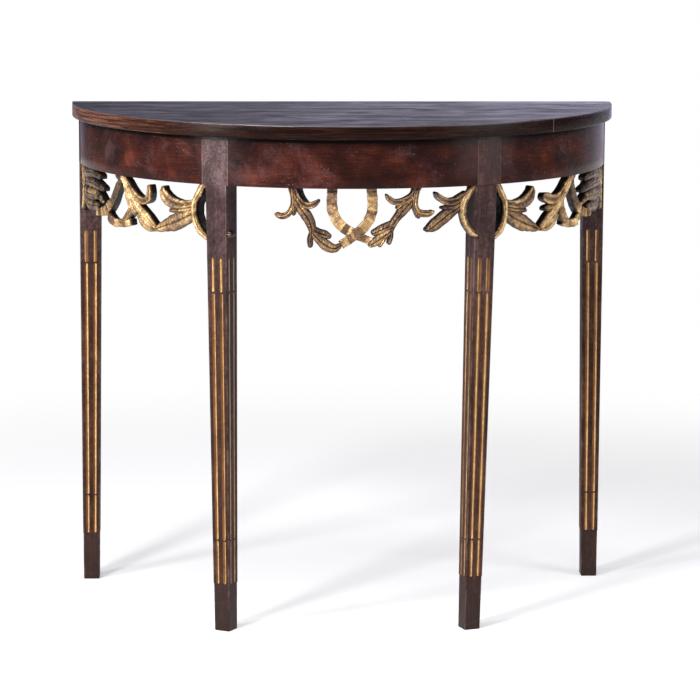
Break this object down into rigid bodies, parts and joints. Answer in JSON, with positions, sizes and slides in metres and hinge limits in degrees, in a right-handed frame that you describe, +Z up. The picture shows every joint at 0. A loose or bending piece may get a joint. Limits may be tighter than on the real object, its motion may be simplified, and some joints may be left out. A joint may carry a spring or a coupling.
{
  "type": "demilune table",
  "caption": "Half-round side table with a bowed veneered frieze, gilded openwork carving below it and square tapered legs with gilded flutes.",
  "frame": {"origin": "on the floor, at the middle of the table's footprint box: midway along the straight back edge and halfway from it to the front of the bow", "axes": "+Z up, -Y towards the bowed front, +X to the right of a person facing the front"},
  "size_m": [0.91, 0.4549, 0.82],
  "materials": {
    "top_wood": "dark polished hardwood, worn",
    "leg_wood": "dark polished hardwood",
    "veneer": "red-brown polished veneer",
    "frame_wood": "unfinished softwood",
    "flute_gilding": "worn gold leaf over gesso",
    "carved_gilding": "carved wood, gold leaf on the front, dark sides",
    "iron": "plain iron"
  },
  "bodies": {
    "root": {"top_front_board": "top_wood", "top_back_board": "top_wood", "front_left_leg": "leg_wood", "front_right_leg": "leg_wood", "rear_left_leg": "leg_wood", "rear_right_leg": "leg_wood", "left_veneer": "veneer", "front_veneer": "veneer", "right_veneer": "veneer", "left_rail": "frame_wood", "front_rail": "frame_wood", "right_rail": "frame_wood", "back_rail": "frame_wood", "left_bearer": "frame_wood", "right_bearer": "frame_wood", "glue_blocks": "frame_wood", "top_tongue": "frame_wood", "front_left_gilding": "flute_gilding", "front_right_gilding": "flute_gilding", "rear_left_gilding": "flute_gilding", "rear_right_gilding": "flute_gilding", "ribbon_loop": "carved_gilding", "left_spray": "carved_gilding", "right_spray": "carved_gilding", "middle_scroll": "carved_gilding", "scroll_stub": "carved_gilding", "left_bay_front_scroll": "carved_gilding", "left_bay_spray": "carved_gilding", "left_bay_ribbon": "carved_gilding", "left_bay_rear_scroll": "carved_gilding", "right_bay_front_scroll": "carved_gilding", "right_bay_spray": "carved_gilding", "right_bay_ribbon": "carved_gilding", "right_bay_rear_scroll": "carved_gilding", "top_screws": "iron", "carving_pins": "iron"}
  },
  "joints": []
}
